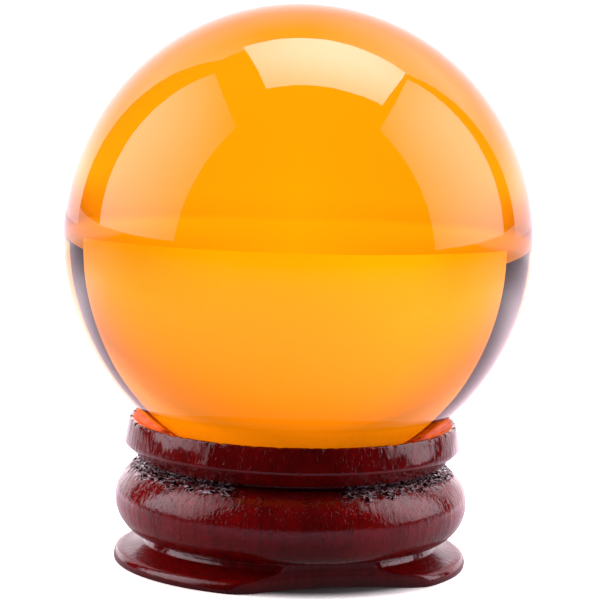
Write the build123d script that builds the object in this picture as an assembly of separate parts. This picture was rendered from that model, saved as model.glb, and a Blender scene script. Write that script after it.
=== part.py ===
from build123d import *

import os
from math import cos, radians, sin

# Crystal ball on its turned wooden stand. Units are millimetres and +Z is up.
# The origin is the centre of the stand's foot, on the surface that it rests on.

# Glass ball, resting in the dish
ball_diameter = 40.0
ball_gap = 0.1                   # free space between the ball's lowest point and the dish

# Collar, the top tier of the stand, with the dish in its top
rim_height = 12.3
rim_radius = 14.0
rim_land = 0.25                  # width of the narrow flat between the dish and the outside
dish_floor_height = 7.8
collar_widest_radius = 14.4
collar_widest_height = 10.15
collar_bulge = 0.02              # how far the collar's side bows outwards
collar_base_radius = 13.0
collar_base_height = 8.85

# Groove between the collar and the bead
groove_radius = 12.1

# Bead, the rounded middle tier
bead_top_radius = 12.5
bead_top_height = 8.45
bead_shoulder_radius = 14.05
bead_shoulder_height = 7.75
bead_widest_radius = 15.1
bead_widest_height = 5.2
bead_base_radius = 13.1
bead_base_height = 2.35

# Neck between the bead and the foot, a little wider at its base
neck_top_radius = 12.3
neck_top_height = 2.2
neck_base_radius = 12.55
neck_base_height = 1.62

# Foot, a thin flange that two wide notches divide into two broad feet
foot_radius = 15.2
foot_edge_height = 1.0
foot_edge_round = 0.5
foot_top_sag = 0.08              # how far the sloping top of the flange dips in its middle
notch_count = 2
notch_direction = 17.0           # degrees from the stand's front, -Y, towards +X
notch_cutter_radius = 18.0
notch_floor_radius = 11.2        # from the stand's axis to the middle of a notch
notch_corner_radius = 4.5
notch_height = 2.1               # the notches stop in the neck, just under the bead


def make_ball():
    ball_radius = ball_diameter / 2
    centre_height = dish_floor_height + ball_gap + ball_radius
    return Pos(0, 0, centre_height) * Sphere(ball_radius)


def dish_curve():
    """Hollow of the dish in half section, an arc centred on the stand's axis."""
    edge_radius = rim_radius - rim_land
    depth = rim_height - dish_floor_height
    dish_radius = (edge_radius**2 + depth**2) / (2 * depth)
    centre = (0, dish_floor_height + dish_radius)
    middle_angle = 0.5 * Vector(edge_radius, rim_height - centre[1]).get_angle(Vector(0, -1))
    middle = (
        dish_radius * sin(radians(middle_angle)),
        centre[1] - dish_radius * cos(radians(middle_angle)),
    )
    return ThreePointArc((edge_radius, rim_height), middle, (0, dish_floor_height))


def collar_curve():
    """Side of the collar in half section, from the groove up to the rim."""
    widest = (collar_widest_radius, collar_widest_height)
    middle = (
        (collar_widest_radius + rim_radius) / 2 + collar_bulge,
        (collar_widest_height + rim_height) / 2,
    )
    rim = (rim_radius, rim_height)
    undercut = Line((collar_base_radius, collar_base_height), widest)
    side = ThreePointArc(widest, middle, rim)
    land = Line(rim, (rim_radius - rim_land, rim_height))
    return undercut + side + land


def bead_curve():
    """Bead in half section, from its lower edge to its top beside the groove."""
    shoulder = (bead_shoulder_radius, bead_shoulder_height)
    side = ThreePointArc(
        (bead_base_radius, bead_base_height),
        (bead_widest_radius, bead_widest_height),
        shoulder,
    )
    top = TangentArc(shoulder, (bead_top_radius, bead_top_height), tangent=side % 1)
    return side + top


def foot_curve():
    """Foot in half section, from the axis along the base and up to the neck."""
    edge_top = (foot_radius - foot_edge_round, foot_edge_height)
    edge_side = (foot_radius, foot_edge_height - foot_edge_round)
    middle = (
        (edge_top[0] + neck_base_radius) / 2,
        (foot_edge_height + neck_base_height) / 2 - foot_top_sag,
    )
    base = Line((0, 0), (foot_radius, 0))
    edge = Line((foot_radius, 0), edge_side)
    rounding = TangentArc(edge_side, edge_top, tangent=(0, 1))
    slope = ThreePointArc(edge_top, middle, (neck_base_radius, neck_base_height))
    return base + edge + rounding + slope


def make_turned_blank():
    """Stand as it comes off the lathe, before the foot is notched."""
    neck = Polyline(
        (neck_base_radius, neck_base_height),
        (neck_top_radius, neck_top_height),
        (bead_base_radius, bead_base_height),
    )
    groove = Polyline(
        (bead_top_radius, bead_top_height),
        (groove_radius, bead_top_height),
        (groove_radius, collar_base_height),
        (collar_base_radius, collar_base_height),
    )
    axis_line = Line((0, dish_floor_height), (0, 0))
    outline = foot_curve() + neck + bead_curve() + groove + collar_curve() + dish_curve() + axis_line
    half_section = Plane.XZ * make_face(outline)
    return revolve(half_section, axis=Axis.Z)


def notch_waste():
    """Wood that the notches take away, as a ring with the foot's plan left out of it."""
    foot_plan = Circle(foot_radius + notch_corner_radius / 15)
    cutter_distance = notch_floor_radius + notch_cutter_radius
    for index in range(notch_count):
        angle = notch_direction - 90 + index * 360 / notch_count
        cutter = Rot(0, 0, angle) * Pos(cutter_distance, 0) * Circle(notch_cutter_radius)
        foot_plan -= cutter
    foot_plan = fillet(foot_plan.vertices(), notch_corner_radius)
    waste_plan = Circle(foot_radius * 1.5) - foot_plan
    return extrude(waste_plan, notch_height)


def make_stand():
    return make_turned_blank() - notch_waste()


parts = {
    "glass_ball": make_ball(),
    "turned_stand": make_stand(),
}

os.makedirs("parts", exist_ok=True)
for name, solid in parts.items():
    export_step(solid, f"parts/{name}.step")
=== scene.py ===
"""Crystal ball on a turned wooden stand: looks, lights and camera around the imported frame."""

import math

import bpy
import numpy as np
from mathutils import Matrix, Vector


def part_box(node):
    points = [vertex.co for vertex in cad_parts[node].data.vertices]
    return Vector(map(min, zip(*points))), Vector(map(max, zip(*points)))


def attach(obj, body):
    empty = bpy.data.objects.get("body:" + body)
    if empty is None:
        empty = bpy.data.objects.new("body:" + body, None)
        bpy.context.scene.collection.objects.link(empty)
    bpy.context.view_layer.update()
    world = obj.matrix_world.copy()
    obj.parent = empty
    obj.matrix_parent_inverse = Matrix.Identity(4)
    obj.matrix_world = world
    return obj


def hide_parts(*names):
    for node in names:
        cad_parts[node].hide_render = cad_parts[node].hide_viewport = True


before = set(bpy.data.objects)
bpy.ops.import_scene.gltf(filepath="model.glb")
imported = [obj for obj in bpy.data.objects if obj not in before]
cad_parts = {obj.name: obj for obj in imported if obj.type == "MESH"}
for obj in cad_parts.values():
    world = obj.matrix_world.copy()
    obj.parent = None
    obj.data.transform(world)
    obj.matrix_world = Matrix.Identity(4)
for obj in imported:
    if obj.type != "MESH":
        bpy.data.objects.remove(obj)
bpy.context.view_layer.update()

MM = 0.001
ball_low, ball_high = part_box("glass_ball")
ball_centre = (ball_low + ball_high) / 2
ball_radius = (ball_high.z - ball_low.z) / 2

# Stand section: radius and height in millimetres, from the middle of the foot's underside.
FOOT_RADIUS = 15.2
FOOT_UNDERSIDE = (FOOT_RADIUS - 0.05, 0.0)
FOOT_SIDE = (FOOT_RADIUS, 0.3)
FOOT_ROUNDING = (FOOT_RADIUS - 0.24, 0.8)
FOOT_TOP = (FOOT_RADIUS - 1.0, 1.11)
FOOT_SLOPE = (13.4, 1.27)
NECK_BASE = (12.55, 1.62)
NECK_TOP = (12.3, 2.2)
BEAD_BASE = (13.1, 2.35)
BEAD_WIDEST = (15.1, 5.2)
BEAD_SHOULDER = (14.05, 7.75)
BEAD_ROLL = (13.45, 8.25)
BEAD_TOP = (12.5, 8.45)
GROOVE_RADIUS, GROOVE_FLOOR = 12.1, 8.5
COLLAR_UNDERCUT = (13.0, 8.85)
COLLAR_WIDEST = (14.4, 10.15)
COLLAR_SIDE = (14.22, 11.22)
RIM_RADIUS, RIM_HEIGHT = 14.0, 12.3
DISH_EDGE, DISH_FLOOR = 13.75, 7.8

# Two opposite notches in the foot, the front one turned from -Y towards +X by so many degrees. A
# cylinder cuts each, and rounded corners lead from it to a blank slightly wider than the foot.
NOTCH_DIRECTION = 17.0
NOTCH_CUTTER_RADIUS = 18.0
NOTCH_FLOOR_RADIUS = 11.2
NOTCH_CORNER_RADIUS = 4.5
NOTCH_BLANK_RADIUS = FOOT_RADIUS + 0.3
NOTCH_TIP_ROUNDING, NOTCH_EDGE_ROUNDING = 0.2, 0.3

# Relief of the stand's surface, in millimetres: what its mesh has, then what its normals show.
LACQUER_ROUNDING = 0.06
WAVE_DEPTH = 0.035
TORN_DEPTH, TORN_RADIUS = 0.12, 13.0
NICK_DEPTH = 0.09
GRAIN_BUMP, TORN_BUMP = 0.04, 0.3

# Fineness of the meshes.
STAND_COLUMNS = 600
STAND_ROWS = 164
SECTION_SPACING = 0.02
BALL_GRID = 90

# Colours of the wood.
STAIN, DEEP_STAIN = (0.26, 0.0034, 0.0033, 1), (0.15, 0.0018, 0.0020, 1)
STREAK_COLOUR = (0.12, 0.0012, 0.0016, 1)
FIBRE_COLOUR = (0.10, 0.001, 0.0012, 1)
COLLAR_PAINTED_SHADE = (0.06, 0.0008, 0.001, 1)
# The dish: paler wood with the amber light through the ball painted on it, brighter at the lip.
LIP_PAINTED_AMBER_LIGHT, LIP_STREAK_PAINTED_AMBER_LIGHT = (0.9, 0.42, 0.03, 1), (0.7, 0.24, 0.02, 1)
HOLLOW_PALE_WITH_PAINTED_AMBER_LIGHT, HOLLOW_STREAK_PALE_WITH_PAINTED_AMBER_LIGHT = (0.42, 0.035, 0.008, 1), (0.24, 0.012, 0.004, 1)
PORE_COLOUR = (0.03, 0.0006, 0.0008, 1)
TORN_COLOUR = (0.07, 0.001, 0.0012, 1)
FOOT_BOTTOM_PAINTED_SHADE = (0.03, 0.001, 0.001, 1)
HOLE_PAINTED_SHADE = (0.004, 0.0005, 0.0006, 1)
DRIED_POLISH_AND_PAINTED_GLINT = (0.78, 0.64, 0.68, 1)

# Glass: faint unevenness in millimetres, and absorption with its density per metre.
GLASS_IOR = 1.5
GLASS_BUMP = 0.004
GLASS_ABSORPTION = (0.997, 0.817, 0.0, 1)
GLASS_DENSITY = 215.0

# Studio, in millimetres from the middle of the foot's underside; -Y is the front.
STUDIO_LIGHT = (1.04, 0.92, 1.0, 1)
LEFT_SOFTBOX = [(-310, -179, 31), (-211, -180, 405), (-209, 106, 401), (-304, 106, 26)]
RIGHT_SOFTBOX = [(309, -131, 25), (303, 143, 26), (220, 143, 356), (222, -132, 359)]
TOP_SOFTBOX = [(-38, -28, 188), (93, -24, 188), (103, 73, 188), (-54, 70, 188)]
SHEET_DISTANCE, SHEET_BOTTOM, SHEET_TOP = 330, 0.2, 745
SHEET_LEFT, SHEET_RIGHT = -354, 412
FLOOR_REACH = 3000
FLOOR_NEAR, FLOOR_FAR = (0.40, 0.34, 0.41, 1), (0.07, 0.06, 0.08, 1)
# Painted shade on the floor by the foot, and a painted contact shadow in front of it.
FLOOR_PAINTED_SHADE_BY_FOOT, FLOOR_PAINTED_SHADOW_UNDER_FOOT = (0.03, 0.03, 0.03, 1), (0.05, 0.05, 0.05, 1)
FLOOR_SEEN = (2.7, 2.95, 2.85, 1)
ROOM_LIGHT, WHITE = (0.9, 0.85, 1.0, 1), (1, 1, 1, 1)

# Camera: a long lens; angles in degrees, lens in millimetres, places in metres from the ball's middle.
CAMERA_ELEVATION = 6.88
CAMERA_DISTANCE = 0.275
CAMERA_ROLL = 1.7
CAMERA_LENS = 194.0
AIM_FROM_BALL = Vector((0.00026, 0, -0.0053))


# ---------------------------------------------------------------- shapes and noise


def arc_through(start, middle, end, steps=40):
    """Points of the circular arc through three points, from start to end."""
    (ax, ay), (bx, by), (cx, cy) = start, middle, end
    d = 2 * (ax * (by - cy) + bx * (cy - ay) + cx * (ay - by))
    a2, b2, c2 = ax * ax + ay * ay, bx * bx + by * by, cx * cx + cy * cy
    ux = (a2 * (by - cy) + b2 * (cy - ay) + c2 * (ay - by)) / d
    uy = (a2 * (cx - bx) + b2 * (ax - cx) + c2 * (bx - ax)) / d
    radius = math.hypot(ax - ux, ay - uy)
    angles = [math.atan2(y - uy, x - ux) for x, y in (start, middle, end)]
    turn_middle = (angles[1] - angles[0]) % (2 * math.pi)
    turn_end = (angles[2] - angles[0]) % (2 * math.pi)
    turn = turn_end if turn_middle < turn_end else turn_end - 2 * math.pi
    t = angles[0] + turn * np.linspace(0, 1, steps)
    return [(ux + radius * math.cos(a), uy + radius * math.sin(a)) for a in t]


def smooth_min(a, b, width):
    """The smaller of a and b, with the corner between them rounded over width."""
    h = np.clip(0.5 + 0.5 * (b - a) / width, 0, 1)
    return b + (a - b) * h - width * h * (1 - h)


def smooth_step(low, high, x):
    """0 up to low, 1 from high on, and a soft rise between; high may be the smaller one."""
    t = np.clip((x - low) / (high - low), 0, 1)
    return t * t * (3 - 2 * t)


def lattice_noise(points, seed):
    """Smooth noise from -1 to 1 over points (n, 3), one unit between its lattice points.

    The long numbers only scatter the bits of each lattice point's key."""
    cell = np.floor(points).astype(np.int64)
    local = points - cell
    blend = local * local * local * (local * (local * 6 - 15) + 10)
    total = np.zeros(len(points))
    for corner in range(8):
        step = np.array([corner & 1, corner >> 1 & 1, corner >> 2 & 1])
        key = (cell + step) @ np.array([73856093, 19349663, 83492791]) + seed * 2654435761
        key = (key ^ (key >> 13)) * 1274126177 & 0x7FFFFFFF
        key = (key ^ (key >> 16)) * 668265263 & 0x7FFFFFFF
        value = (key >> 7 & 0xFFFF) / 32767.5 - 1
        weight = np.where(step, blend, 1 - blend).prod(axis=1)
        total += weight * value
    return total


def mesh_object(name, vertices, faces, material, smooth=True):
    """A new object of one mesh and one material, linked to the scene."""
    mesh = bpy.data.meshes.new(name)
    mesh.from_pydata([tuple(v) for v in vertices], [], faces)
    mesh.validate()
    if smooth:
        mesh.shade_smooth()
    mesh.materials.append(material)
    made = bpy.data.objects.new(name, mesh)
    bpy.context.scene.collection.objects.link(made)
    return made


# ---------------------------------------------------------------- node trees


class Nodes:
    """Short ways to build a node tree."""

    def __init__(self, tree):
        self.tree = tree
        tree.nodes.clear()

    def add(self, kind, **settings):
        made = self.tree.nodes.new(kind)
        inputs = settings.pop("inputs", {})
        for key, value in settings.items():
            setattr(made, key, value)
        for key, value in inputs.items():
            self.put(made, key, value)
        return made

    def put(self, made, key, value):
        socket = made.inputs[key]
        if isinstance(value, bpy.types.NodeSocket):
            self.tree.links.new(value, socket)
        elif isinstance(value, bpy.types.Node):
            self.tree.links.new(value.outputs[0], socket)
        else:
            socket.default_value = value

    def place(self):
        """The shaded point, in millimetres."""
        coordinates = self.add("ShaderNodeTexCoord").outputs["Object"]
        return self.stretched(coordinates, (1 / MM, 1 / MM, 1 / MM))

    def axes(self, vector):
        return self.add("ShaderNodeSeparateXYZ", inputs={0: vector}).outputs[:3]

    def math(self, operation, a, b=0.0):
        return self.add("ShaderNodeMath", operation=operation, inputs={0: a, 1: b}).outputs[0]

    def times(self, first, *others):
        for other in others:
            first = self.math("MULTIPLY", first, other)
        return first

    def plus(self, a, b):
        return self.math("ADD", a, b)

    def minus(self, a, b):
        return self.math("SUBTRACT", a, b)

    def mapped(self, kind, value, low, high, at_low, at_high):
        made = self.add("ShaderNodeMapRange", interpolation_type=kind)
        for key, item in enumerate((value, low, high, at_low, at_high)):
            self.put(made, key, item)
        return made.outputs[0]

    def ramp(self, value, low, high, at_low=0.0, at_high=1.0):
        """at_low up to low, at_high from high on, and a soft slope between."""
        return self.mapped("SMOOTHSTEP", value, low, high, at_low, at_high)

    def fade(self, value, low, high, at_low, at_high):
        """at_low up to low, at_high from high on, and a straight line between."""
        return self.mapped("LINEAR", value, low, high, at_low, at_high)

    def mix(self, factor, a, b):
        made = self.add("ShaderNodeMix", data_type="RGBA")
        self.put(made, 0, factor)
        self.put(made, 6, a)
        self.put(made, 7, b)
        return made.outputs[2]

    def noise(self, vector, scale=1.0, detail=2.0, roughness=0.5, distortion=0.0):
        made = self.add("ShaderNodeTexNoise", inputs={"Vector": vector, "Scale": scale})
        made.inputs["Detail"].default_value = detail
        made.inputs["Roughness"].default_value = roughness
        made.inputs["Distortion"].default_value = distortion
        return made.outputs[0]

    def bump(self, millimetres, height, **others):
        """Normals for a relief this deep where height goes from 0 to 1."""
        depth = {"Strength": 1.0, "Distance": millimetres * MM, "Height": height}
        return self.add("ShaderNodeBump", inputs={**depth, **others})

    def stretched(self, vector, scale):
        made = self.add("ShaderNodeVectorMath", operation="MULTIPLY", inputs={0: vector})
        made.inputs[1].default_value = scale
        return made.outputs[0]


def new_material(name):
    """A new material, and the short ways to build its node tree."""
    material = bpy.data.materials.new(name)
    material.use_nodes = True
    return material, Nodes(material.node_tree)


# ---------------------------------------------------------------- lacquered wood


def wood_grain(n, place):
    """Broad streaks and fine fibres that run up the stand, and the short open pores and pits."""
    streak = n.noise(n.stretched(place, (1.5, 1.5, 0.16)), distortion=0.3)
    fibre = n.noise(n.stretched(place, (5.5, 5.5, 0.9)), roughness=0.55)
    pits = n.ramp(n.noise(n.stretched(place, (6.5, 6.5, 1.7)), detail=1.0), 0.62, 0.72)
    pore_place = n.stretched(place, (1.5, 1.5, 0.5))
    cells = n.add("ShaderNodeTexVoronoi", feature="F1", inputs={"Vector": pore_place, "Scale": 1.0})
    pores = n.ramp(n.plus(cells.outputs["Distance"], n.times(fibre, 0.25)), 0.28, 0.20)
    open_grain = n.math("MAXIMUM", pores, n.times(pits, 0.7))
    return streak, fibre, open_grain


def lacquer_stipple(n, place, high):
    """Fine unevenness of the lacquer, on the bead and, a little less, on the foot."""
    on_bead = n.times(n.ramp(high, 2.4, 3.2), n.ramp(high, 8.4, 8.2))
    on_foot = n.ramp(high, 1.3, 1.1)
    return n.times(n.noise(place, scale=4.6), n.plus(on_bead, n.times(on_foot, 0.8)))


def torn_grain(n, place, radius):
    """Torn grain under pooled lacquer: both flanks of the bead's top, beside the groove.

    Gives how torn the wood is, its lumps, its holes, and the pale curls on it: dried polish with painted
    glints."""
    across, deep, high = n.axes(place)
    uneven = n.minus(n.noise(place, scale=1.1, detail=3.0, roughness=0.6), 0.5)
    over_shoulder = n.ramp(n.plus(high, n.times(uneven, 2.2)), 7.9, 8.15)
    under_collar = n.ramp(high, 9.0, 8.75)
    outside_dish = n.ramp(radius, 11.9, 12.1)
    flank = n.ramp(n.math("ABSOLUTE", across), 3.5, 6.5)
    torn = n.times(over_shoulder, under_collar, outside_dish, n.plus(n.times(flank, 0.85), 0.15))

    around = n.times(n.math("ARCTAN2", across, deep), TORN_RADIUS)
    ring_place = n.add("ShaderNodeCombineXYZ", inputs={0: around, 1: n.times(radius, 2.2), 2: high})
    lumps = n.noise(ring_place, scale=1.5, detail=1.0, distortion=0.6)
    hole_field = n.noise(ring_place, scale=1.6, roughness=0.6, distortion=0.4)
    holes = n.times(n.ramp(hole_field, 0.50, 0.54), n.ramp(torn, 0.1, 0.3))
    curl_field = n.noise(ring_place, scale=1.2, detail=1.0, distortion=0.5)
    curls_and_painted_glints = n.ramp(n.math("ABSOLUTE", n.minus(curl_field, 0.47)), 0.045, 0.02)
    return torn, lumps, holes, n.times(curls_and_painted_glints, n.ramp(torn, 0.3, 0.55))


def inside_dish(n, high, radius):
    """1 on the dish, and 0 elsewhere, also in the groove, which is nearer the axis than the dish's edge."""
    above_groove = n.math("MAXIMUM", n.ramp(high, 10.2, 10.6), n.ramp(radius, 11.9, 11.6))
    return n.times(n.ramp(radius, DISH_EDGE, DISH_EDGE - 0.15), n.ramp(high, 7.0, 7.3), above_groove)


def wood_colour(n, high, grain, blotch, torn_parts, in_dish):
    """Red-brown stain; the dish has a thinner coat on paler wood, with the amber light through the ball
    painted on it, brightest at the lip.
    """
    streak, fibre, open_grain = grain
    torn, _, holes, curls_and_painted_glints = torn_parts
    colour = n.mix(n.ramp(blotch, 0.35, 0.68), STAIN, DEEP_STAIN)
    colour = n.mix(n.ramp(streak, 0.42, 0.68, 0.0, 0.5), colour, STREAK_COLOUR)
    colour = n.mix(n.ramp(fibre, 0.5, 0.7, 0.0, 0.25), colour, FIBRE_COLOUR)
    # Painted shade: the collar darker than the bead.
    colour = n.mix(n.ramp(high, 8.6, 8.8, 0.0, 0.35), colour, COLLAR_PAINTED_SHADE)
    dish_streak = n.ramp(streak, 0.4, 0.65)
    lip_painted_light = n.mix(dish_streak, LIP_PAINTED_AMBER_LIGHT, LIP_STREAK_PAINTED_AMBER_LIGHT)
    hollow_painted_light = n.mix(dish_streak, HOLLOW_PALE_WITH_PAINTED_AMBER_LIGHT, HOLLOW_STREAK_PALE_WITH_PAINTED_AMBER_LIGHT)
    # Painted amber light in the dish, brighter towards the lip.
    colour = n.mix(in_dish, colour, n.mix(n.ramp(high, 10.5, 11.1), hollow_painted_light, lip_painted_light))
    colour = n.mix(n.times(open_grain, 0.45), colour, PORE_COLOUR)
    colour = n.mix(n.ramp(torn, 0.1, 0.6, 0.0, 0.5), colour, TORN_COLOUR)
    # Painted shade by the floor: the foot darker towards its underside.
    colour = n.mix(n.ramp(high, 0.9, 0.0, 0.0, 0.6), colour, FOOT_BOTTOM_PAINTED_SHADE)
    # Painted shade in the holes of the torn grain, near black.
    colour = n.mix(holes, colour, HOLE_PAINTED_SHADE)
    # Pale curls of dried polish, with painted glints on them.
    return n.mix(n.times(curls_and_painted_glints, 0.85), colour, DRIED_POLISH_AND_PAINTED_GLINT)


def wood_bump(n, high, grain, stipple, torn_parts):
    """Grain that shows through the lacquer, fainter on the foot, and the lumps of the torn grain."""
    streak, fibre, open_grain = grain
    torn, lumps, holes, _ = torn_parts
    height = n.plus(n.times(streak, 1.2), n.times(fibre, 0.12))
    height = n.minus(height, n.times(open_grain, 0.4))
    height = n.times(height, n.ramp(high, 1.5, 1.9, 0.4, 1.0))
    height = n.plus(height, n.times(stipple, 0.42))
    torn_height = n.times(n.minus(lumps, n.times(holes, 0.5)), torn)
    return n.bump(TORN_BUMP, torn_height, Normal=n.bump(GRAIN_BUMP, height))


def wood_material():
    """Red-brown stained hardwood under gloss lacquer, its grain and open pores along Z."""
    material, n = new_material("lacquered_wood")
    place = n.place()
    across, deep, high = n.axes(place)
    radius = n.math("POWER", n.plus(n.math("POWER", across, 2), n.math("POWER", deep, 2)), 0.5)
    grain = wood_grain(n, place)
    blotch = n.noise(place, scale=0.22, detail=3.0, roughness=0.55)
    torn_parts = torn_grain(n, place, radius)
    holes = torn_parts[2]
    in_dish = inside_dish(n, high, radius)
    bump = wood_bump(n, high, grain, lacquer_stipple(n, place, high), torn_parts)
    foot_top = n.times(n.ramp(high, 0.86, 0.96), n.ramp(high, 1.66, 1.56, 0.0, 0.4))
    dull = n.math("MAXIMUM", n.math("MAXIMUM", n.times(in_dish, 0.8), holes), foot_top)
    shader = n.add(
        "ShaderNodeBsdfPrincipled",
        inputs={
            "Base Color": wood_colour(n, high, grain, blotch, torn_parts, in_dish),
            "Roughness": n.ramp(blotch, 0.35, 0.7, 0.5, 0.62),
            "Specular IOR Level": 0.0,
            "Normal": bump,
            "Coat Weight": n.minus(1.0, dull),
            "Coat Roughness": 0.085,
            "Coat IOR": 1.5,
            "Coat Normal": bump,
        },
    )
    n.add("ShaderNodeOutputMaterial", inputs={"Surface": shader})
    return material


# ---------------------------------------------------------------- turned stand


def stand_section():
    """Half section of the stand in mm, from the middle of its base round to the middle of its dish."""
    depth = RIM_HEIGHT - DISH_FLOOR
    dish_radius = (DISH_EDGE**2 + depth**2) / (2 * depth)
    half_way = math.asin(DISH_EDGE / dish_radius) / 2
    dish_middle = (dish_radius * math.sin(half_way), DISH_FLOOR + dish_radius * (1 - math.cos(half_way)))
    points = [(0, 0), FOOT_UNDERSIDE]
    points += arc_through(FOOT_SIDE, FOOT_ROUNDING, FOOT_TOP)
    points += arc_through(FOOT_TOP, FOOT_SLOPE, NECK_BASE)
    points += [NECK_TOP]
    points += arc_through(BEAD_BASE, BEAD_WIDEST, BEAD_SHOULDER)
    points += arc_through(BEAD_SHOULDER, BEAD_ROLL, BEAD_TOP)
    points += [(GROOVE_RADIUS, GROOVE_FLOOR), (GROOVE_RADIUS, COLLAR_UNDERCUT[1]), COLLAR_UNDERCUT]
    points += [COLLAR_WIDEST]
    points += arc_through(COLLAR_WIDEST, COLLAR_SIDE, (RIM_RADIUS, RIM_HEIGHT))
    points += arc_through((DISH_EDGE, RIM_HEIGHT), dish_middle, (0, DISH_FLOOR))
    return np.array(points, float)


def resample(points, spacing):
    """The same line with evenly spaced points, and the distance along it."""
    steps = np.hypot(*np.diff(points, axis=0).T)
    points = points[np.concatenate([[True], steps > 1e-9])]
    along = np.concatenate([[0], np.cumsum(np.hypot(*np.diff(points, axis=0).T))])
    even = np.linspace(0, along[-1], int(along[-1] / spacing) + 1)
    return np.stack([np.interp(even, along, points[:, k]) for k in (0, 1)], axis=1), even


def softened(points, spacing, width):
    """The line with its corners rounded, as by a coat of lacquer; its two ends stay."""
    reach = int(4 * width / spacing)
    kernel = np.exp(-0.5 * (np.arange(-reach, reach + 1) * spacing / width) ** 2)
    kernel /= kernel.sum()
    before = 2 * points[0] - points[reach:0:-1]
    after = 2 * points[-1] - points[-2 : -reach - 2 : -1]
    padded = np.concatenate([before, points, after])
    return np.stack([np.convolve(padded[:, k], kernel, "valid") for k in (0, 1)], axis=1)


def rows_of(points, along, count):
    """count points of the line, closer together where it bends and away from the axis and the floor."""
    sharpest, window = 6.0, 51
    for_any, for_bend, for_outer = 0.25, 1.6, 1.6
    heading = np.unwrap(np.arctan2(*np.gradient(points, axis=0).T[::-1]))
    bend = np.minimum(np.abs(np.gradient(heading, along)), sharpest)
    bend = np.convolve(bend, np.ones(window) / window, "same")
    outer = (points[:, 0] > 11.5) & (points[:, 1] > 0.02)
    busy = for_any + for_bend * bend + for_outer * outer
    share = np.concatenate([[0], np.cumsum((busy[1:] + busy[:-1]) / 2 * np.diff(along))])
    at = np.interp(np.linspace(0, share[-1], count), share, along)
    return np.stack([np.interp(at, along, points[:, k]) for k in (0, 1)], axis=1)


def notch_limit(angle):
    """How far out the foot reaches at each angle from the notch direction, in mm."""
    away = NOTCH_FLOOR_RADIUS + NOTCH_CUTTER_RADIUS
    inner = NOTCH_BLANK_RADIUS - NOTCH_CORNER_RADIUS
    outer = NOTCH_CUTTER_RADIUS + NOTCH_CORNER_RADIUS
    corner_at = math.acos((inner**2 + away**2 - outer**2) / (2 * inner * away))
    corner = np.array([inner * math.cos(corner_at), inner * math.sin(corner_at)])
    cutter = np.array([away, 0])
    meets = cutter + (corner - cutter) * NOTCH_CUTTER_RADIUS / outer
    cutter_ends = math.atan2(meets[1], meets[0])

    off = np.abs((angle + math.pi / 2) % math.pi - math.pi / 2)
    root = np.sqrt(np.maximum(NOTCH_CUTTER_RADIUS**2 - (away * np.sin(off)) ** 2, 0))
    floor = away * np.cos(off) - root
    from_corner = off - corner_at
    round_root = np.sqrt(np.maximum(NOTCH_CORNER_RADIUS**2 - (inner * np.sin(from_corner)) ** 2, 0))
    rounded = inner * np.cos(from_corner) + round_root
    limit = np.where(off < cutter_ends, floor, np.where(off < corner_at, rounded, NOTCH_BLANK_RADIUS))
    return smooth_min(limit, np.full_like(limit, FOOT_RADIUS), NOTCH_TIP_ROUNDING)


def cut_notches(r, z, turn):
    """Radii with the notches cut: the flat base is drawn in to them, and the foot is cut off at them."""
    limit = notch_limit(turn - math.radians(NOTCH_DIRECTION - 90))
    below_bead = np.arange(len(r))[:, None] < np.argmax(z[:, 0] > NECK_TOP[1])
    in_foot = (z < NECK_TOP[1] - 0.02) & below_bead
    on_floor = (z < 0.004) & in_foot
    drawn_in = np.minimum(r, r * np.minimum(limit / FOOT_RADIUS, 1))
    cut_off = smooth_min(r, limit, NOTCH_EDGE_ROUNDING)
    return np.where(on_floor, drawn_in, np.where(in_foot, cut_off, r))


def roughened(points):
    """The stand's points with the small relief that turning, torn grain and wear have left."""
    radius = np.hypot(points[:, 0], points[:, 1])
    high = points[:, 2]

    # Slight waves left by hand turning and sanding.
    outside = smooth_step(0.0, 0.5, high) * (radius > 13.0)
    wave = lattice_noise(points * (0.35, 0.35, 0.5), seed=3) * WAVE_DEPTH * outside

    # Torn grain under pooled lacquer, on the flanks of the bead's top beside the groove.
    flank = 0.2 + 0.8 * smooth_step(3.5, 6.5, np.abs(points[:, 0]))
    near_groove = smooth_step(7.7, 8.2, high) * smooth_step(9.4, 8.9, high)
    near_groove *= smooth_step(11.9, 12.6, radius) * flank
    torn = lattice_noise(points * (2.4, 2.4, 1.6), seed=5)
    torn += 0.6 * lattice_noise(points * (4.1, 4.1, 2.2), seed=7)
    lump = np.minimum(torn, 0.35) * TORN_DEPTH * near_groove

    # Nicks where the rim's sharp edge chipped before it was lacquered.
    at_rim = smooth_step(11.9, 12.25, high) * smooth_step(13.2, 13.8, radius)
    nick = np.minimum(lattice_noise(points * (1.9, 1.9, 0.8), seed=11), 0.1)
    nick += 0.6 * np.minimum(lattice_noise(points * (3.7, 3.7, 1.0), seed=13), 0.1)
    nick = np.minimum(nick, 0.0) * NICK_DEPTH * at_rim

    outward = 1 + (wave + lump + 0.4 * nick) / np.maximum(radius, 1e-6)
    return np.stack([points[:, 0] * outward, points[:, 1] * outward, high + 0.5 * lump + nick], axis=1)


def turned_faces(rows, columns, bottom, top):
    """Faces of a closed turned shape: rings of quads, and a fan at the bottom and at the top."""
    after = [(j + 1) % columns for j in range(columns)]
    faces = []
    for low in range(0, (rows - 1) * columns, columns):
        high = low + columns
        faces += [(low + j, low + after[j], high + after[j], high + j) for j in range(columns)]
    last = (rows - 1) * columns
    for j in range(columns):
        faces.append((bottom, after[j], j))
        faces.append((last + j, last + after[j], top))
    return faces


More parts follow.
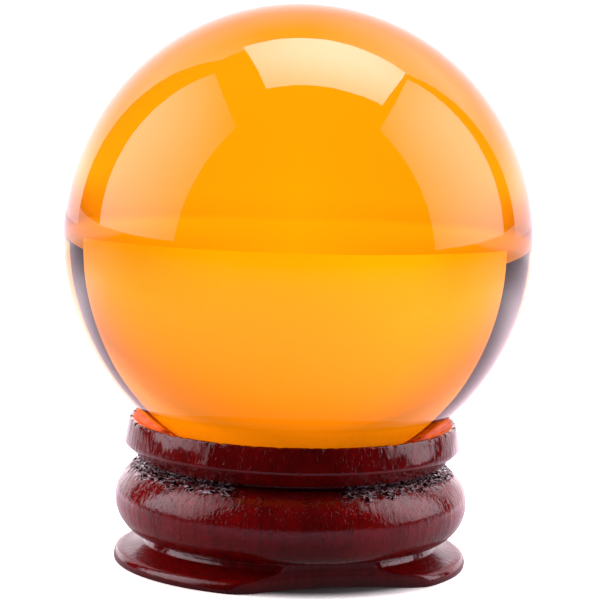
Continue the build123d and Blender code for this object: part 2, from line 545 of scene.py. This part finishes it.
def make_stand(material):
    """The section turned about the axis, notched and roughened, with one point at each pole."""
    line, along = resample(stand_section(), SECTION_SPACING)
    section = rows_of(softened(line, SECTION_SPACING, LACQUER_ROUNDING), along, STAND_ROWS)
    rings = section[1:-1]
    r = np.repeat(rings[:, 0][:, None], STAND_COLUMNS, axis=1)
    z = np.repeat(rings[:, 1][:, None], STAND_COLUMNS, axis=1)
    turn = np.linspace(0, 2 * math.pi, STAND_COLUMNS, endpoint=False)[None, :] * np.ones_like(r)
    r = cut_notches(r, z, turn)
    points = np.stack([(r * np.cos(turn)).ravel(), (r * np.sin(turn)).ravel(), z.ravel()], axis=1)
    points = roughened(points)
    poles = [[0, 0, section[0, 1]], [0, 0, section[-1, 1]]]
    vertices = np.concatenate([points, poles]) * MM
    faces = turned_faces(len(rings), STAND_COLUMNS, len(points), len(points) + 1)
    return mesh_object("stand_wood", vertices, faces, material)


# ---------------------------------------------------------------- glass ball


def glass_material():
    """Clear amber glass: right across, it takes the blue and most of the green out of light."""
    material, n = new_material("amber_glass")
    coordinates = n.add("ShaderNodeTexCoord").outputs["Object"]
    striae = n.noise(n.stretched(coordinates, (260, 260, 420)), distortion=0.4)
    shader = n.add(
        "ShaderNodeBsdfPrincipled",
        inputs={
            "Base Color": WHITE,
            "Roughness": 0.0,
            "IOR": GLASS_IOR,
            "Transmission Weight": 1.0,
            "Normal": n.bump(GLASS_BUMP, striae),
        },
    )
    absorption = n.add(
        "ShaderNodeVolumeAbsorption",
        inputs={"Color": GLASS_ABSORPTION, "Density": GLASS_DENSITY},
    )
    n.add("ShaderNodeOutputMaterial", inputs={"Surface": shader, "Volume": absorption})
    return material


def cube_sphere(centre, radius, side):
    """Vertices and faces of a sphere made of six grids that share their edges."""
    line = np.tan(np.linspace(-math.pi / 4, math.pi / 4, side + 1))
    index, vertices, faces = {}, [], []

    def corner(a, b, axis, sign):
        point = [0.0, 0.0, 0.0]
        point[axis] = float(sign)
        point[(axis + 1) % 3] = line[a] * sign
        point[(axis + 2) % 3] = line[b]
        key = tuple(round(p, 6) for p in point)
        if key not in index:
            index[key] = len(vertices)
            vertices.append(centre + Vector(point).normalized() * radius)
        return index[key]

    around = ((0, 0), (1, 0), (1, 1), (0, 1))
    for axis in range(3):
        for sign in (-1, 1):
            for a in range(side):
                for b in range(side):
                    faces.append(tuple(corner(a + da, b + db, axis, sign) for da, db in around))
    return vertices, faces


def make_ball(material):
    vertices, faces = cube_sphere(ball_centre, ball_radius, BALL_GRID)
    return mesh_object("ball_glass", vertices, faces, material)


# ---------------------------------------------------------------- studio


def light_material(name, glow_of):
    """A glowing face; glow_of(nodes, x, y, z) gives its brightness from its place in mm."""
    material, n = new_material(name)
    glow = glow_of(n, *n.axes(n.place()))
    shader = n.add("ShaderNodeEmission", inputs={"Color": STUDIO_LIGHT, "Strength": glow})
    n.add("ShaderNodeOutputMaterial", inputs={"Surface": shader})
    return material


def panel(name, corners, glow_of):
    """A glowing flat face through four corners in mm, seen by everything but the camera itself."""
    glowing = light_material(name + "_glow", glow_of)
    made = mesh_object(name, [Vector(c) * MM for c in corners], [(0, 1, 2, 3)], glowing, smooth=False)
    made.visible_camera = False


def softbox_glow(peak, middle, reach, below=1.0):
    """A softbox brightest at its middle, with a reach along each axis, or None where it is even.

    Where below is under 1, the light fades more slowly under the middle than over it."""

    def glow(n, *place):
        spread = 0.0
        for along, centre, size in zip(place, middle, reach):
            if size:
                off = n.times(n.minus(along, centre), 1 / size)
                if along is place[2]:
                    off = n.math("MAXIMUM", off, n.times(off, below))
                spread = n.plus(n.math("POWER", off, 2.0), spread)
        return n.times(n.math("EXPONENT", n.times(spread, -1.0)), peak)

    return glow


def sideways(n, x, floor_level, reach):
    """Brightness left at x mm to either side of the middle."""
    off = n.times(n.math("ABSOLUTE", x), -1 / reach)
    return n.plus(n.times(n.math("EXPONENT", off), 1 - floor_level), floor_level)


def sheet_glow(n, x, y, z):
    """Back sheet: brightest low down and left of the middle; upper corners brighter, lower ones dimmer."""
    up = n.plus(n.fade(z, 13, 242, 2.75, 0.95), n.fade(z, 233, 489, 0.0, -0.75))
    wide = n.times(up, sideways(n, n.plus(x, 110.0), 0.5, 495.0))
    off_upper = n.math("ABSOLUTE", n.plus(x, 45.0))
    upper_corners = n.times(n.fade(off_upper, 60, 330, 0.0, 1.1), n.fade(z, 180, 300, 0.0, 1.0))
    off_lower = n.math("ABSOLUTE", x)
    lower_corners = n.times(n.fade(off_lower, 60, 160, 0.0, 0.24), n.fade(z, 15, 60, 1.0, 0.0))
    return n.times(n.plus(wide, upper_corners), n.minus(1.0, lower_corners))


def floor_glow(n, x, y):
    """Light of the sheet and the softboxes that the floor behind and beside the ball passes on."""
    near = n.plus(n.fade(y, -20, 40, 0.0, 1.25), n.fade(y, 40, 130, 0.0, 0.75))
    near = n.times(near, sideways(n, x, 0.0, 150.0))
    far = n.times(n.fade(y, 90, 180, 0.0, 1.0), sideways(n, x, 0.38, 170.0))
    from_side = n.math("POWER", n.minus(n.math("ABSOLUTE", x), 76.0), 2.0)
    from_back = n.math("POWER", n.minus(y, 52.0), 2.0)
    beside = n.times(n.math("EXPONENT", n.times(n.plus(from_side, from_back), -1 / 34.0**2)), 0.8)
    return n.plus(n.math("MAXIMUM", near, n.times(far, 2.2)), beside)


def make_softboxes():
    left = softbox_glow(peak=3.4, middle=(0, 34, 185), reach=(None, 220, 200), below=0.6)
    right = softbox_glow(peak=3.5, middle=(0, 44, 205), reach=(None, 190, 190), below=0.6)
    top = softbox_glow(peak=7.9, middle=(35, 25, 0), reach=(140, 85, None))
    panel("left_softbox", LEFT_SOFTBOX, left)
    panel("right_softbox", RIGHT_SOFTBOX, right)
    panel("top_softbox", TOP_SOFTBOX, top)


def make_back_sheet():
    sides = [SHEET_LEFT, SHEET_RIGHT, SHEET_RIGHT, SHEET_LEFT]
    heights = [SHEET_BOTTOM, SHEET_BOTTOM, SHEET_TOP, SHEET_TOP]
    panel("back_sheet", [(x, SHEET_DISTANCE, z) for x, z in zip(sides, heights)], sheet_glow)


def floor_material():
    """Floor: white to the camera but for a painted contact shadow, and dimmer in what the ball and the
    stand reflect or refract, with painted shade by the foot.
    """
    material, n = new_material("floor_paint")
    seen = n.add("ShaderNodeLightPath").outputs["Is Camera Ray"]
    place = n.place()
    x, y, _ = n.axes(place)
    away = n.add("ShaderNodeVectorMath", operation="LENGTH", inputs={0: place}).outputs["Value"]

    colour = n.mix(n.fade(away, 60, 260, 0.0, 1.0), FLOOR_NEAR, FLOOR_FAR)
    # Painted shade on the floor by the foot, in what the ball and the stand reflect or refract.
    colour = n.mix(n.fade(away, 13, 22, 0.75, 0.0), colour, FLOOR_PAINTED_SHADE_BY_FOOT)
    pale = n.add("ShaderNodeBsdfDiffuse", inputs={"Color": colour})
    glow = floor_glow(n, x, y)
    passed_on = n.add("ShaderNodeEmission", inputs={"Color": STUDIO_LIGHT, "Strength": glow})
    lit = n.add("ShaderNodeAddShader", inputs={0: pale, 1: passed_on})

    bright = n.add("ShaderNodeBsdfDiffuse", inputs={"Color": FLOOR_SEEN})
    open_floor = n.add("ShaderNodeEmission", inputs={"Strength": n.fade(away, 13, 30, 0.0, 1.2)})
    shown = n.add("ShaderNodeAddShader", inputs={0: bright, 1: open_floor})

    # Painted contact shadow in front of the foot, a little longer to the right.
    in_shade = n.fade(n.plus(away, n.times(x, -0.05)), 12.8, 16.3, 0.93, 0.0)
    in_shade = n.times(in_shade, n.fade(y, -10, -4, 1.0, 0.0))
    painted_contact_shadow = n.add("ShaderNodeBsdfDiffuse", inputs={"Color": FLOOR_PAINTED_SHADOW_UNDER_FOOT})
    shown = n.add("ShaderNodeMixShader", inputs={0: in_shade, 1: shown, 2: painted_contact_shadow})
    both = n.add("ShaderNodeMixShader", inputs={0: seen, 1: lit, 2: shown})
    n.add("ShaderNodeOutputMaterial", inputs={"Surface": both})
    return material


def make_floor():
    corners = [(-1, -1, 0), (1, -1, 0), (1, 1, 0), (-1, 1, 0)]
    vertices = [Vector(c) * FLOOR_REACH * MM for c in corners]
    mesh_object("floor", vertices, [(0, 1, 2, 3)], floor_material(), smooth=False)


def make_world():
    """White behind everything to the camera, and a dim room to the rest."""
    world = bpy.data.worlds.new("studio")
    bpy.context.scene.world = world
    world.use_nodes = True
    n = Nodes(world.node_tree)
    seen = n.add("ShaderNodeLightPath").outputs["Is Camera Ray"]
    room = n.add("ShaderNodeBackground", inputs={"Color": ROOM_LIGHT, "Strength": 0.02})
    white = n.add("ShaderNodeBackground", inputs={"Color": WHITE, "Strength": 1.25})
    both = n.add("ShaderNodeMixShader", inputs={0: seen, 1: room, 2: white})
    n.add("ShaderNodeOutputWorld", inputs={"Surface": both})


def make_camera():
    """A long lens in front, looking down a little at the lower half of the ball, and rolled slightly."""
    elevation = math.radians(CAMERA_ELEVATION)
    data = bpy.data.cameras.new("camera")
    data.sensor_width = 36.0
    data.lens = CAMERA_LENS
    data.clip_start, data.clip_end = 0.01, 20.0
    camera = bpy.data.objects.new("camera", data)
    bpy.context.scene.collection.objects.link(camera)
    back = Vector((0, -math.cos(elevation), math.sin(elevation)))
    place = ball_centre + back * CAMERA_DISTANCE
    look = (ball_centre + AIM_FROM_BALL - place).to_track_quat("-Z", "Y").to_matrix().to_4x4()
    roll = Matrix.Rotation(math.radians(CAMERA_ROLL), 4, "Z")
    camera.matrix_world = Matrix.Translation(place) @ look @ roll
    bpy.context.scene.camera = camera


make_softboxes()
make_back_sheet()
make_floor()
make_world()
make_camera()

ball = make_ball(glass_material())
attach(ball, "ball")
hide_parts("glass_ball")

stand = make_stand(wood_material())
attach(stand, "stand")
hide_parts("turned_stand")

bpy.context.scene.view_settings.view_transform = "Standard"
bpy.context.scene.view_settings.look = "None"
